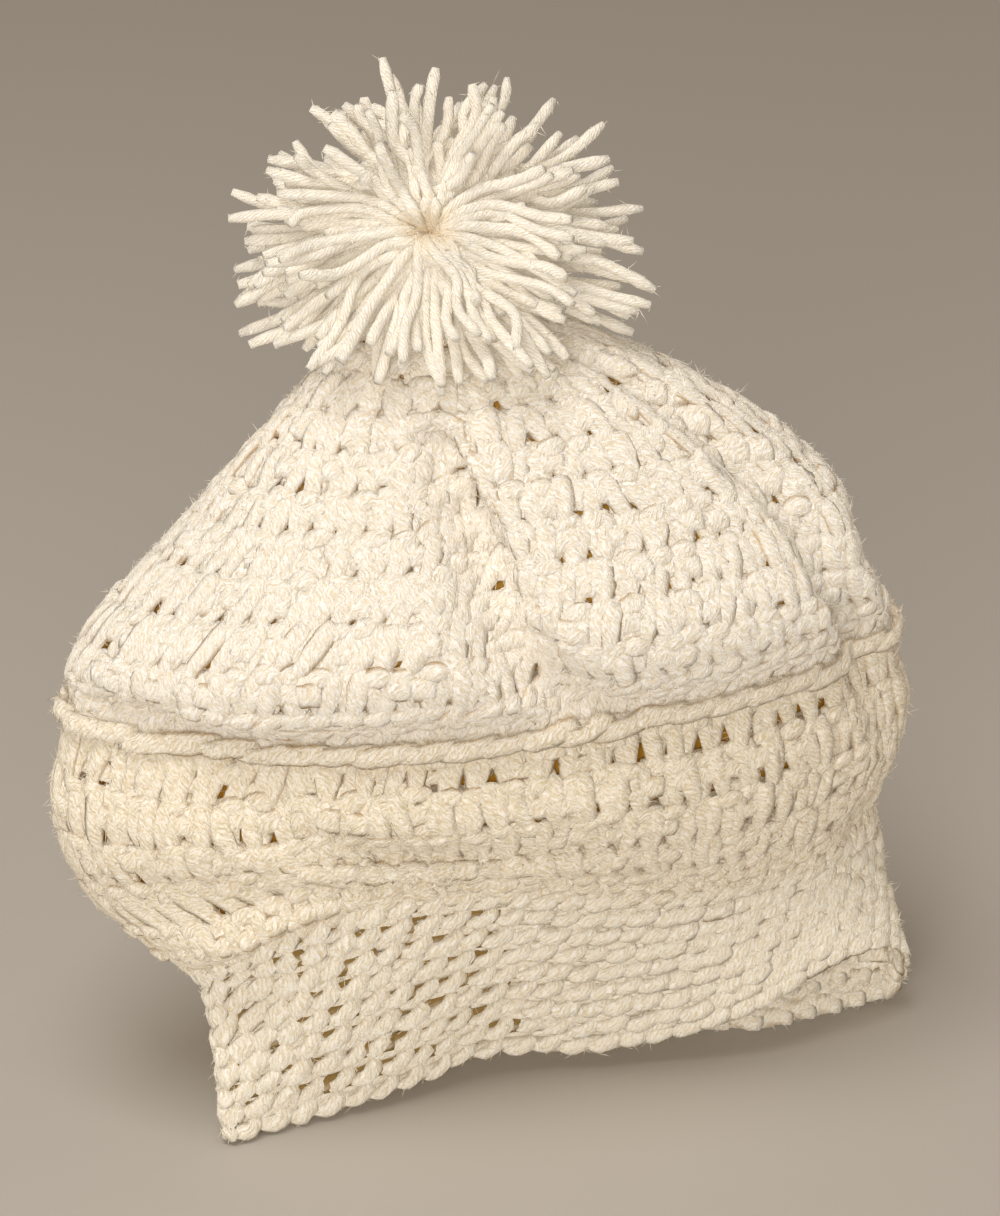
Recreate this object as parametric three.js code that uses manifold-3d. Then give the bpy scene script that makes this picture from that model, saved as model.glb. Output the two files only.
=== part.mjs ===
// Crocheted slouch beanie with a loose yarn pompom, standing on its hem.
// Millimetres, +Z up, the brim's long way along X and its front toward -Y.

import * as THREE from "three";
import { mergeVertices } from "three/addons/utils/BufferGeometryUtils.js";
import Module from "manifold-3d";

// Cloth
const WALL = 4.5;
const SEAM_GAP = 0.5;
const BAND_RIBS = 10;
const BODY_ROUNDS = 5;
const CROWN_ROUNDS = 12;
const RIB_RELIEF = 0.7;
const ROUND_RELIEF = 0.6;

// Raised chain of loops in the crease
const RIDGE_RADIUS = 2.1;
const RIDGE_SIDES = 6;
const RIDGE_GAP = 0.35;

// Pompom
const HEAD_RADIUS = 14;
const HEAD_GAP = 0.4;
const LOCK_COUNT = 58;
const LOCK_LENGTH = 55;
const LOCK_WIDTH = 6;
const LOCK_THICK = 4.2;
const LOCK_STEPS = 2;
const LOCK_ROOT = 0.8; // share of the head's radius where a lock starts
const LOCK_BEND = 0.55; // share of a lock's length where it bends
const LOCK_UNEVEN = 0.16; // share of a lock's length by which locks differ
const LOCK_SWAY = 8;
const LOCK_SAG = 12;
const LEAST_SAG = 0.3;
const SAG_FROM = 0.5; // how far below level, as a slope, locks still sag
const TOP_SHORTER = 0.14; // share by which the upright locks are shorter
const LOWEST_LOCK = -22;
const LOWEST_LOCK_EXTRA = -10;

// The pompom parts toward the front left. Locks lean out of the parting, and those beside it are shorter.
const PARTING = { at: 242, elevation: 27, clear: 42, reach: 110, shorter: 0.2 };

// The hem as it lies: where it stands round the hat in degrees, and its line.
// Its front right stretch is lifted off the surface.
const HEM = [
  { at: 180, x: -100, y: 2, z: 0 },
  { at: 218, x: -79, y: -1, z: 0 },
  { at: 240, x: -50, y: -3, z: 3 },
  { at: 258, x: -21, y: -4, z: 7 },
  { at: 270, x: -1, y: -11, z: 5 },
  { at: 281, x: 20, y: -20, z: 8 },
  { at: 292, x: 38, y: -28, z: 15 },
  { at: 304, x: 57, y: -32, z: 25 },
  { at: 315, x: 72, y: -32, z: 29 },
  { at: 327, x: 84, y: -29, z: 27 },
  { at: 346, x: 94, y: -22, z: 14 },
  { at: 360, x: 95, y: -15, z: 4 },
  { at: 378, x: 87, y: -14, z: 0 },
  { at: 400, x: 70, y: -15, z: 0 },
  { at: 420, x: 43, y: -10, z: 0 },
  { at: 437, x: 20, y: 11, z: 0 },
  { at: 450, x: 0, y: 25, z: 0 },
  { at: 465, x: -25, y: 32, z: 0 },
  { at: 485, x: -55, y: 32, z: 0 },
  { at: 515, x: -85, y: 20, z: 0 },
];

// Level sections above the hem. Tilt lifts the right end, and rise lifts the front right.
const SECTIONS = [
  { name: "neck", z: 45, x: -5, y: 6, width: 99, front: 36, back: 33, turn: -5, tilt: 5, rise: 4 },
  { name: "body_low", z: 62, x: -14, y: 11, width: 109, front: 46, back: 43, turn: -11, tilt: 5, rise: 6 },
  { name: "body", z: 85, x: -18, y: 12, width: 114, front: 52, back: 50, turn: -14, tilt: 4, rise: 8 },
  { name: "crease", z: 107, x: -18, y: 12, width: 108, front: 49, back: 49, turn: -16, tilt: 3, rise: 11 },
  { name: "puff_low", z: 118, x: -17, y: 12, width: 109, front: 57, back: 54, turn: -17, tilt: 2, rise: 13 },
  { name: "puff", z: 131, x: -16, y: 12, width: 103, front: 57, back: 54, turn: -18, tilt: 1, rise: 16 },
  { name: "crown_low", z: 150, x: -11, y: 14, width: 87, front: 47, back: 48, turn: -18, tilt: 0, rise: 15 },
  { name: "crown_mid", z: 172, x: -12, y: 17, width: 65, front: 36, back: 38, turn: -18, tilt: 0, rise: 11 },
  { name: "crown_high", z: 191, x: -16, y: 21, width: 43, front: 25, back: 27, turn: -18, tilt: 0, rise: 6 },
  { name: "crown_top", z: 205, x: -22, y: 26, width: 23, front: 15, back: 15, turn: -18, tilt: 0, rise: 2 },
  { name: "apex", z: 212, x: -25, y: 29, width: 3, front: 2, back: 2, turn: -18, tilt: 0, rise: 0 },
];
const RISE_AT = 300;

// How far the band's curve is carried on by the body's slope where it meets the neck.
const BAND_SWEEP = 2.2;

// Folds run up the wall between two stations and lean from one angle to another.
const FOLDS = [
  { name: "front_pleat", from: 4.0, to: 8.6, low: 282, high: 247, spread: 5.5, depth: 15 },
  { name: "right_crease", from: 2.6, to: 9.6, low: 336, high: 316, spread: 7, depth: 9 },
  { name: "left_valley", from: 2.1, to: 4.0, low: 250, high: 222, spread: 9, depth: 5 },
];
const FOLD_TAPER = 0.6;
const FOLD_EDGE = 2.6; // how steep the sides of a fold are

// Lifts raise the wall at one place, and dents are pressed in there.
const LIFTS = [
  { name: "band_front", at: 238, station: 1, spread: 43, reach: 1.5, height: 25 },
  { name: "crease_left", at: 182, station: 4, spread: 30, reach: 1, height: 6 },
];
const DENTS = [
  { name: "left_tuck_high", at: 204, station: 4.6, spread: 14, reach: 0.45, depth: 9 },
  { name: "left_tuck_low", at: 222, station: 4.0, spread: 18, reach: 0.45, depth: 9 },
  { name: "right_pocket", at: 338, station: 1.5, spread: 14, reach: 0.5, depth: 7 },
  { name: "body_tuck", at: 258, station: 2.45, spread: 14, reach: 0.28, depth: 4 },
  { name: "right_side", at: 357, station: 5.7, spread: 22, reach: 1.1, depth: 9 },
];

// Pushes move the wall level toward one azimuth: the body's left roll hangs over a hollow in the band.
const PUSHES = [
  { name: "left_hollow", at: 201, station: 0.62, spread: 10, reach: 0.2, depth: 7, toward: 62 },
  { name: "left_roll", at: 208, station: 1.3, spread: 18, reach: 0.35, depth: 8, toward: 242 },
];

// Facets round the hat, finest across the front pleat.
const FACETS = { right_back: 6, back: 12, left: 13, pleat: 13, right_front: 13 };
const PLEAT_SPAN = 36;

// Stations: 0 is the hem, 1 the neck, then one for each section up to the apex.
const NECK = 1;
const CREASE = 1 + SECTIONS.findIndex((row) => row.name === "crease");
const APEX = SECTIONS.length;

const rad = THREE.MathUtils.degToRad;
const clamp = THREE.MathUtils.clamp;
const wrap = (deg) => THREE.MathUtils.euclideanModulo(deg + 180, 360) - 180;

const foldAngle = (fold, along) => THREE.MathUtils.lerp(fold.low, fold.high, clamp(along, 0, 1));

// Facet angles at one station. They lean with the pleat, so that its line stays whole.
function facetAngles(station) {
  const [pleat] = FOLDS;
  const middle = foldAngle(pleat, (station - pleat.from) / (pleat.to - pleat.from));
  const spans = [
    [0, 30, FACETS.right_back],
    [30, 150, FACETS.back],
    [150, middle - PLEAT_SPAN / 2, FACETS.left],
    [middle - PLEAT_SPAN / 2, middle + PLEAT_SPAN / 2, FACETS.pleat],
    [middle + PLEAT_SPAN / 2, 360, FACETS.right_front],
  ];
  return spans.flatMap(([from, to, count]) =>
    Array.from({ length: count }, (_, k) => from + ((to - from) * k) / count),
  );
}

function sectionValue(key, station) {
  const place = clamp(station - NECK, 0, SECTIONS.length - 1 - 1e-9);
  const i = Math.floor(place);
  const t = place - i;
  const at = (k) => SECTIONS[clamp(k, 0, SECTIONS.length - 1)][key];
  const [a, b, c, d] = [at(i - 1), at(i), at(i + 1), at(i + 2)];
  const bend = 2 * a - 5 * b + 4 * c - d;
  const twist = -a + 3 * b - 3 * c + d;
  return 0.5 * (2 * b + (c - a) * t + bend * t * t + twist * t * t * t);
}

function hemPoint(deg) {
  const count = HEM.length;
  const row = (k) => {
    const turns = Math.floor(k / count);
    const { at, x, y, z } = HEM[k - turns * count];
    return { at: at + 360 * turns, point: new THREE.Vector3(x, y, z) };
  };
  const slope = (k) => {
    const [a, b, c] = [row(k - 1), row(k), row(k + 1)];
    const before = b.point.clone().sub(a.point).divideScalar(b.at - a.at);
    const after = c.point.clone().sub(b.point).divideScalar(c.at - b.at);
    const share = (b.at - a.at) / (c.at - a.at);
    return before.lerp(after, share);
  };
  const start = HEM[0].at;
  const place = start + THREE.MathUtils.euclideanModulo(deg - start, 360);
  let k = 0;
  while (row(k + 1).at <= place) k += 1;
  const span = row(k + 1).at - row(k).at;
  const t = (place - row(k).at) / span;
  const [leave, arrive] = [slope(k).multiplyScalar(span), slope(k + 1).multiplyScalar(span)];
  const point = hermite(row(k).point, row(k + 1).point, leave, arrive, t);
  return point.setZ(Math.max(point.z, 0));
}

function hermite(start, end, leave, arrive, t) {
  const t2 = t * t;
  const t3 = t2 * t;
  return start.clone().multiplyScalar(2 * t3 - 3 * t2 + 1)
    .addScaledVector(leave, t3 - 2 * t2 + t)
    .addScaledVector(end, 3 * t2 - 2 * t3)
    .addScaledVector(arrive, t3 - t2);
}

// Share of a lift, dent or push that reaches one place, 1 at its middle.
function share(place, deg, station) {
  const off = wrap(deg - place.at) / place.spread;
  const up = (station - place.station) / place.reach;
  return Math.exp(-off * off - up * up);
}

function foldDepth(deg, station) {
  let depth = 0;
  for (const fold of FOLDS) {
    const along = (station - fold.from) / (fold.to - fold.from);
    if (along <= 0 || along >= 1) continue;
    const off = wrap(deg - foldAngle(fold, along)) / fold.spread;
    depth += fold.depth * Math.sin(Math.PI * along) ** FOLD_TAPER * Math.exp(-(Math.abs(off) ** FOLD_EDGE));
  }
  for (const dent of DENTS) depth += dent.depth * share(dent, deg, station);
  return depth;
}

// Level line from a section's middle out to the wall.
function sectionReach(deg, station) {
  const value = (key) => sectionValue(key, station);
  const angle = rad(deg);
  const depth = Math.sin(angle) < 0 ? value("front") : value("back");
  const reach = new THREE.Vector3(value("width") * Math.cos(angle), depth * Math.sin(angle), 0);
  return reach.applyAxisAngle(new THREE.Vector3(0, 0, 1), rad(value("turn")));
}

function sectionPoint(deg, station) {
  const value = (key) => sectionValue(key, station);
  const angle = rad(deg);
  let z = value("z") + value("tilt") * Math.cos(angle);
  z += value("rise") * (0.5 + 0.5 * Math.cos(angle - rad(RISE_AT)));
  for (const lift of LIFTS) z += lift.height * share(lift, deg, station);
  return sectionReach(deg, station).add(new THREE.Vector3(value("x"), value("y"), z));
}

function bandPoint(deg, station) {
  const hem = hemPoint(deg);
  const neck = sectionPoint(deg, NECK);
  const step = 0.001;
  const arrive = sectionPoint(deg, NECK + step).sub(neck).multiplyScalar(BAND_SWEEP / step);
  const leave = neck.clone().sub(hem);
  return hermite(hem, neck, leave, arrive, station);
}

function clothPoint(deg, station, folded = true) {
  const point = station < NECK ? bandPoint(deg, station) : sectionPoint(deg, station);
  if (!folded) return point;
  const away = sectionReach(deg, Math.max(station, NECK)).normalize();
  point.addScaledVector(away, -foldDepth(deg, station));
  for (const push of PUSHES) {
    point.addScaledVector(direction(rad(push.toward), 0), push.depth * share(push, deg, station));
  }
  return point;
}

// Outward direction of the unfolded form, level at the hem so that the hem's edge is flat.
const LEVEL_UP_TO = 0.4;
function outward(deg, station) {
  const step = 0.02;
  const low = Math.max(station - step, 0);
  const high = Math.min(station + step, APEX);
  const up = clothPoint(deg, high, false).sub(clothPoint(deg, low, false));
  const round = clothPoint(deg + 1, station, false).sub(clothPoint(deg - 1, station, false));
  const normal = round.cross(up).normalize();
  normal.z *= clamp(station / LEVEL_UP_TO, 0, 1);
  return normal.normalize();
}

function layerPoint(deg, station, out) {
  return clothPoint(deg, station).addScaledVector(outward(deg, station), out);
}

// Stations evenly spaced along the cloth between two seams, each end trimmed by half the gap.
function evenStations(from, to, steps, trimStart, trimEnd) {
  const samples = 160;
  const station = (k) => from + ((to - from) * k) / samples;
  const runs = [0];
  for (let k = 1; k <= samples; k += 1) {
    let run = 0;
    for (let deg = 0; deg < 360; deg += 30) {
      run += clothPoint(deg, station(k), false).distanceTo(clothPoint(deg, station(k - 1), false)) / 12;
    }
    runs.push(runs[k - 1] + run);
  }
  const start = trimStart ? SEAM_GAP / 2 : 0;
  const end = runs[samples] - (trimEnd ? SEAM_GAP / 2 : 0);
  return Array.from({ length: steps + 1 }, (_, n) => {
    const run = start + ((end - start) * n) / steps;
    let k = 1;
    while (k < samples && runs[k] < run) k += 1;
    return station(k - 1 + (run - runs[k - 1]) / (runs[k] - runs[k - 1]));
  });
}

const ringAt = (station, out) => facetAngles(station).map((deg) => layerPoint(deg, station, out));

// Skin over a stack of rings. The stack joins its own start, or ends in a pole at each end.
function loft(rings, poles) {
  const round = rings[0].length;
  const points = rings.flat();
  const index = [];
  const joins = poles ? rings.length - 1 : rings.length;
  for (let i = 0; i < joins; i += 1) {
    const low = i * round;
    const high = ((i + 1) % rings.length) * round;
    for (let j = 0; j < round; j += 1) {
      const next = (j + 1) % round;
      index.push(low + j, low + next, high + next, low + j, high + next, high + j);
    }
  }
  if (poles) {
    const last = (rings.length - 1) * round;
    points.push(poles.start, poles.end);
    for (let j = 0; j < round; j += 1) {
      const next = (j + 1) % round;
      index.push(points.length - 2, next, j, points.length - 1, last + j, last + next);
    }
  }
  const geometry = new THREE.BufferGeometry();
  geometry.setAttribute("position", new THREE.Float32BufferAttribute(points.flatMap((p) => p.toArray()), 3));
  geometry.setIndex(index);
  geometry.computeVertexNormals();
  return geometry;
}

// Outer face of a wall: a groove between rounds and a crest on each round.
const reliefRings = (stations, relief) => stations.map((s, k) => ringAt(s, k % 2 ? relief : -relief));

function bandGeometry() {
  const outer = evenStations(0, NECK, BAND_RIBS * 2, false, true);
  const inner = outer.filter((_, k) => k % 4 === 0).reverse();
  return loft([...reliefRings(outer, RIB_RELIEF), ...inner.map((s) => ringAt(s, -WALL))]);
}

function bodyGeometry() {
  const outer = evenStations(NECK, CREASE, BODY_ROUNDS * 2, true, true);
  const inner = evenStations(NECK, CREASE, BODY_ROUNDS - 1, true, true).reverse();
  return loft([...reliefRings(outer, ROUND_RELIEF), ...inner.map((s) => ringAt(s, -WALL))]);
}

function crownGeometry() {
  const outer = evenStations(CREASE, APEX, CROWN_ROUNDS * 2, true, false).slice(0, -1);
  const inner = outer.filter((_, k) => k % 3 === 0).reverse();
  const start = apex.clone().setZ(apex.z - WALL);
  const rings = [...inner.map((s) => ringAt(s, -WALL)), ...reliefRings(outer, ROUND_RELIEF)];
  return loft(rings, { start, end: apex });
}

function ridgeGeometry() {
  const reach = RIDGE_RADIUS + RIDGE_GAP;
  const up = new THREE.Vector3(0, 0, 1);
  const rings = Array.from({ length: RIDGE_SIDES }, (_, k) => {
    const turn = (2 * Math.PI * k) / RIDGE_SIDES;
    return facetAngles(CREASE).map((deg) => {
      const out = outward(deg, CREASE);
      const side = up.clone().addScaledVector(out, -up.dot(out)).normalize();
      return clothPoint(deg, CREASE)
        .addScaledVector(out, reach + RIDGE_RADIUS * Math.cos(turn))
        .addScaledVector(side, RIDGE_RADIUS * Math.sin(turn));
    });
  });
  return loft(rings);
}

const apex = new THREE.Vector3(SECTIONS.at(-1).x, SECTIONS.at(-1).y, SECTIONS.at(-1).z);
const wasm = await Module();
wasm.setup();

function toSolid(geometry) {
  const plain = geometry.clone();
  plain.deleteAttribute("normal");
  plain.deleteAttribute("uv");
  const merged = mergeVertices(plain, 1e-4);
  const vertProperties = new Float32Array(merged.attributes.position.array);
  const triVerts = new Uint32Array(merged.index.array);
  return new wasm.Manifold(new wasm.Mesh({ numProp: 3, vertProperties, triVerts }));
}

function toGeometry(solid) {
  const { vertProperties, triVerts } = solid.getMesh();
  const geometry = new THREE.BufferGeometry();
  geometry.setAttribute("position", new THREE.BufferAttribute(vertProperties, 3));
  geometry.setIndex(new THREE.BufferAttribute(triVerts, 1));
  geometry.computeVertexNormals();
  return geometry;
}

// A repeatable number from 0 to 1 for lock k.
const vary = (k, salt) =>
  THREE.MathUtils.euclideanModulo(Math.sin(k * 12.9898 + salt * 78.233) * 43758.5453, 1);

const direction = (azimuth, elevation) => new THREE.Vector3(
  Math.cos(azimuth) * Math.cos(elevation),
  Math.sin(azimuth) * Math.cos(elevation),
  Math.sin(elevation),
);

// Lowest a lock may point without lying in the crown, which is steeper at the front and back.
const lowestLock = (azimuth) => rad(LOWEST_LOCK + LOWEST_LOCK_EXTRA * Math.abs(Math.sin(azimuth)));

function outOfParting(aim) {
  const parting = direction(rad(PARTING.at), rad(PARTING.elevation));
  const off = THREE.MathUtils.radToDeg(aim.angleTo(parting));
  if (off > PARTING.reach) return aim;
  const pushed = rad(THREE.MathUtils.lerp(PARTING.clear, PARTING.reach, off / PARTING.reach));
  const leaning = parting.clone().applyAxisAngle(parting.clone().cross(aim).normalize(), pushed);
  const azimuth = Math.atan2(leaning.y, leaning.x);
  return direction(azimuth, Math.max(Math.asin(leaning.z), lowestLock(azimuth)));
}

// Locks spread evenly over the head, the lowest lying along the crown.
function lockPath(k, heart) {
  const azimuth = k * Math.PI * (3 - Math.sqrt(5));
  const lowest = lowestLock(azimuth);
  const start = THREE.MathUtils.lerp(Math.sin(lowest), 1, (k + 0.5) / LOCK_COUNT);
  const aim = outOfParting(direction(azimuth, Math.asin(start)));
  const beside = Math.max(aim.dot(direction(rad(PARTING.at), rad(PARTING.elevation))), 0);
  const shorter = (1 - PARTING.shorter * beside) * (1 - TOP_SHORTER * Math.max(aim.z, 0));
  const length = LOCK_LENGTH * (1 + LOCK_UNEVEN * (vary(k, 1) - 0.5)) * shorter;
  const level = Math.hypot(aim.x, aim.y);
  const sag = LOCK_SAG * level * (LEAST_SAG + vary(k, 2)) * clamp(aim.z + SAG_FROM, 0, 1);
  const sway = new THREE.Vector3(-aim.y, aim.x, 0).multiplyScalar(LOCK_SWAY * (vary(k, 3) - 0.5));
  const middle = heart.clone().addScaledVector(aim, length * LOCK_BEND).add(sway);
  const tip = heart.clone().addScaledVector(aim, length).add(new THREE.Vector3(0, 0, -sag));
  const root = heart.clone().addScaledVector(aim, HEAD_RADIUS * LOCK_ROOT);
  return new THREE.QuadraticBezierCurve3(root, middle, tip);
}

function pompomGeometry() {
  const heart = apex.clone().setZ(apex.z + HEAD_GAP + HEAD_RADIUS);
  const [w, t] = [LOCK_WIDTH / 2, LOCK_THICK / 2];
  const corners = [[-w, -t], [w, -t], [w, t], [-w, t]];
  const section = new THREE.Shape(corners.map(([x, y]) => new THREE.Vector2(x, y)));
  const head = new THREE.IcosahedronGeometry(HEAD_RADIUS, 1).translate(heart.x, heart.y, heart.z);
  let solid = toSolid(head);
  for (let k = 0; k < LOCK_COUNT; k += 1) {
    const options = { steps: LOCK_STEPS, bevelEnabled: false, extrudePath: lockPath(k, heart) };
    solid = solid.add(toSolid(new THREE.ExtrudeGeometry(section, options)));
  }
  return toGeometry(solid);
}

function piece(name, geometry, color, roughness) {
  const mesh = new THREE.Mesh(geometry, new THREE.MeshStandardMaterial({ color, roughness, metalness: 0 }));
  mesh.name = name;
  return mesh;
}

const beanie = new THREE.Group();
beanie.add(
  piece("band", bandGeometry(), "#ece3cf", 0.9),
  piece("body", bodyGeometry(), "#efe6d2", 0.9),
  piece("ridge", ridgeGeometry(), "#f1e9d6", 0.9),
  piece("crown", crownGeometry(), "#f3ebd9", 0.9),
  piece("pompom", pompomGeometry(), "#f5eee0", 0.85),
);

// The origin is on the surface under the middle of the hat's box.
const box = new THREE.Box3().setFromObject(beanie, true);
const middle = box.getCenter(new THREE.Vector3());
beanie.position.set(-middle.x, -middle.y, -box.min.z);

export default beanie;
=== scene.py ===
import math

import bpy
import numpy as np
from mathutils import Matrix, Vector


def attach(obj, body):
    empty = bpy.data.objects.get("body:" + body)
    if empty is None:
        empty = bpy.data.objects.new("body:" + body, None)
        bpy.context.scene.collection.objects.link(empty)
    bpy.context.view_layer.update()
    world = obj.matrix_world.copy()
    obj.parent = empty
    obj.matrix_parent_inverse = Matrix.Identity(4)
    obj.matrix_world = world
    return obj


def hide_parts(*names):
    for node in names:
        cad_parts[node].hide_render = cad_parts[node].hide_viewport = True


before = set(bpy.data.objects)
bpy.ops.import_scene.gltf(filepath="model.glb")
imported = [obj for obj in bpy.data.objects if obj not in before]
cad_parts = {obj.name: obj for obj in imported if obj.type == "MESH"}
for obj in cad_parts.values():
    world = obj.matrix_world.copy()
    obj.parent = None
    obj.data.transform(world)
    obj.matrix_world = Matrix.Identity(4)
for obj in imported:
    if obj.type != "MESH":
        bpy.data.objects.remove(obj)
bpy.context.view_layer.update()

# Viewpoint
# The hat is seen from its front left and a little above, from a little over a metre away.
# The long lens keeps the brim and the pompom in proportion.

view_azimuth = math.radians(-28)
view_elevation = math.radians(25)
view_distance = 1.2
view_target = Vector((0.0247, 0.0359, 0.1078))
toward_camera = Vector((
    math.sin(view_azimuth) * math.cos(view_elevation),
    -math.cos(view_azimuth) * math.cos(view_elevation),
    math.sin(view_elevation),
))
camera_data = bpy.data.cameras.new("camera")
camera_data.lens = 133.2
camera_data.sensor_width = 36
camera = bpy.data.objects.new("camera", camera_data)
camera.location = view_target + toward_camera * view_distance
camera.rotation_euler = toward_camera.to_track_quat("Z", "Y").to_euler()
bpy.context.collection.objects.link(camera)
bpy.context.scene.camera = camera

# Studio
# A plain pale floor under two large soft lights: one high on the left of the view,
# and one low beside the camera that reaches in between the stitches. A dim even sky lifts the shadows.


def linear(hex_color):
    """An sRGB hex colour as linear red, green, blue and alpha."""
    parts = [int(hex_color[k:k + 2], 16) / 255 for k in (1, 3, 5)]
    return [v / 12.92 if v <= 0.04045 else ((v + 0.055) / 1.055) ** 2.4 for v in parts] + [1.0]


def add_node(tree, kind, settings=None, links=None):
    """Adds one node, with its settings and the sockets that feed its inputs."""
    node = tree.nodes.new(kind)
    for key, value in (settings or {}).items():
        if isinstance(key, str) and hasattr(node, key):
            setattr(node, key, value)
        else:
            node.inputs[key].default_value = value
    for key, source in (links or {}).items():
        tree.links.new(source, node.inputs[key])
    return node


hat_middle = Vector((0, 0, 0.14))


def soft_light(name, azimuth, elevation, distance, size, watts, color):
    """A square soft light aimed at the middle of the hat."""
    data = bpy.data.lights.new(name, "AREA")
    data.energy = watts
    data.size = size
    data.color = linear(color)[:3]
    light = bpy.data.objects.new(name, data)
    a, e = math.radians(azimuth), math.radians(elevation)
    aim = Vector((math.sin(a) * math.cos(e), -math.cos(a) * math.cos(e), math.sin(e)))
    light.location = hat_middle + aim * distance
    light.rotation_euler = aim.to_track_quat("Z", "Y").to_euler()
    bpy.context.collection.objects.link(light)


soft_light("key_light", azimuth=-60, elevation=68, distance=1.5, size=0.8, watts=11.4, color="#ffffff")
soft_light("front_light", azimuth=-36, elevation=15, distance=1.8, size=0.8, watts=12.4, color="#ffffff")

world = bpy.data.worlds.new("studio")
world.use_nodes = True
sky = world.node_tree.nodes["Background"]
sky.inputs["Color"].default_value = linear("#ffeed8")
sky.inputs["Strength"].default_value = 0.31
bpy.context.scene.world = world
bpy.context.scene.view_settings.view_transform = "Standard"

bpy.ops.mesh.primitive_plane_add(size=8)
floor = bpy.context.active_object
floor.name = "floor"
floor_paint = bpy.data.materials.new("pale matte floor paint")
floor_paint.use_nodes = True
floor_coat = floor_paint.node_tree.nodes["Principled BSDF"]
floor_coat.inputs["Base Color"].default_value = linear("#c2bbb1")
floor_coat.inputs["Roughness"].default_value = 0.8
floor.data.materials.append(floor_paint)

# Ribbed band
# The brim is rounds of single crochet in the back loops, so each round leaves a rope of front loops.
# It is worked first and carries the whole hat. It stands pinched flat, its front right stretch lifted.

# The hem as it lies: degrees round the hat, then its line in mm
hem = np.array([
    (180, -100, 2, 0), (218, -79, -1, 0), (240, -50, -3, 3), (258, -21, -4, 7), (270, -1, -11, 5),
    (281, 20, -20, 8), (292, 38, -28, 15), (304, 57, -32, 25), (315, 72, -32, 29), (327, 84, -29, 27),
    (346, 94, -22, 14), (360, 95, -15, 4), (378, 87, -14, 0), (400, 70, -15, 0), (420, 43, -10, 0),
    (437, 20, 11, 0), (450, 0, 25, 0), (465, -25, 32, 0), (485, -55, 32, 0), (515, -85, 20, 0),
], float)

# Level sections above the hem, in mm and degrees. Tilt lifts the right end, rise the front right.
section_columns = ("z", "x", "y", "width", "front", "back", "turn", "tilt", "rise")
sections = np.array([
    (45, -5, 6, 99, 36, 33, -5, 5, 4),
    (62, -14, 11, 109, 46, 43, -11, 5, 6),
    (85, -18, 12, 114, 52, 50, -14, 4, 8),
    (107, -18, 12, 108, 49, 49, -16, 3, 11),
    (118, -17, 12, 109, 57, 54, -17, 2, 13),
    (131, -16, 12, 103, 57, 54, -18, 1, 16),
    (150, -11, 14, 87, 47, 48, -18, 0, 15),
    (172, -12, 17, 65, 36, 38, -18, 0, 11),
    (191, -16, 21, 43, 25, 27, -18, 0, 6),
    (205, -22, 26, 23, 15, 15, -18, 0, 2),
    (212, -25, 29, 3, 2, 2, -18, 0, 0),
], float)
neck_station = 1
crease_station = 4
apex_station = len(sections)
rise_at = 300
band_sweep = 2.2
frame_shift = np.array([16.911, -16.992, 0])

# Folds run up the wall: from and to station, low and high angle, spread in degrees, depth in mm
folds = [(4.0, 8.6, 282, 247, 5.5, 15), (2.6, 9.6, 336, 316, 7, 9), (2.1, 4.0, 250, 222, 9, 5)]
fold_edge = 2.6
# Dents and lifts: angle, station, spread in degrees, reach in stations, depth or height in mm
dents = [
    (204, 4.6, 14, 0.45, 9), (222, 4.0, 18, 0.45, 9), (338, 1.5, 14, 0.5, 7),
    (258, 2.45, 14, 0.28, 4), (357, 5.7, 22, 1.1, 9),
]
lifts = [(238, 1, 43, 1.5, 25), (182, 4, 30, 1, 6)]
# Pushes: as dents, and the azimuth that the wall is moved toward
pushes = [(201, 0.62, 10, 0.2, 7, 62), (208, 1.3, 18, 0.35, 8, 242)]


def hermite(start, end, leave, arrive, t):
    """The smooth curve between two points that leaves and arrives along two slopes."""
    return ((2 * t**3 - 3 * t**2 + 1) * start + (t**3 - 2 * t**2 + t) * leave
            + (3 * t**2 - 2 * t**3) * end + (t**3 - t**2) * arrive)


def hem_line(degrees):
    """Points of the hem at angles round the hat, never below the floor."""
    loop = np.vstack([hem[-2:] - [360, 0, 0, 0], hem, hem[:3] + [360, 0, 0, 0]])
    at, line = loop[:, 0], loop[:, 1:]
    before = (line[1:-1] - line[:-2]) / (at[1:-1] - at[:-2])[:, None]
    after = (line[2:] - line[1:-1]) / (at[2:] - at[1:-1])[:, None]
    share = ((at[1:-1] - at[:-2]) / (at[2:] - at[:-2]))[:, None]
    slopes = before + (after - before) * share
    at, line = at[1:-1], line[1:-1]
    place = (degrees - hem[0, 0]) % 360 + hem[0, 0]
    k = np.searchsorted(at, place, side="right") - 1
    span = (at[k + 1] - at[k])[..., None]
    t = (place - at[k])[..., None] / span
    points = hermite(line[k], line[k + 1], slopes[k] * span, slopes[k + 1] * span, t)
    points[..., 2] = np.maximum(points[..., 2], 0)
    return points


def hump(degrees, station, angle, level, spread, reach, size):
    """How much of one dent or lift reaches each place, in mm."""
    off = ((degrees - angle + 180) % 360 - 180) / spread
    return size * np.exp(-off**2 - ((station - level) / reach) ** 2)


def fold_depth(degrees, station):
    """How far the wall is folded or pressed in, in mm."""
    depth = sum(hump(degrees, station, *dent) for dent in dents)
    for low, high, first, last, spread, deep in folds:
        along = np.clip((station - low) / (high - low), 0, 1)
        off = ((degrees - first - (last - first) * along + 180) % 360 - 180) / spread
        depth = depth + deep * np.sin(np.pi * along) ** 0.6 * np.exp(-np.abs(off) ** fold_edge)
    return depth


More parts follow.
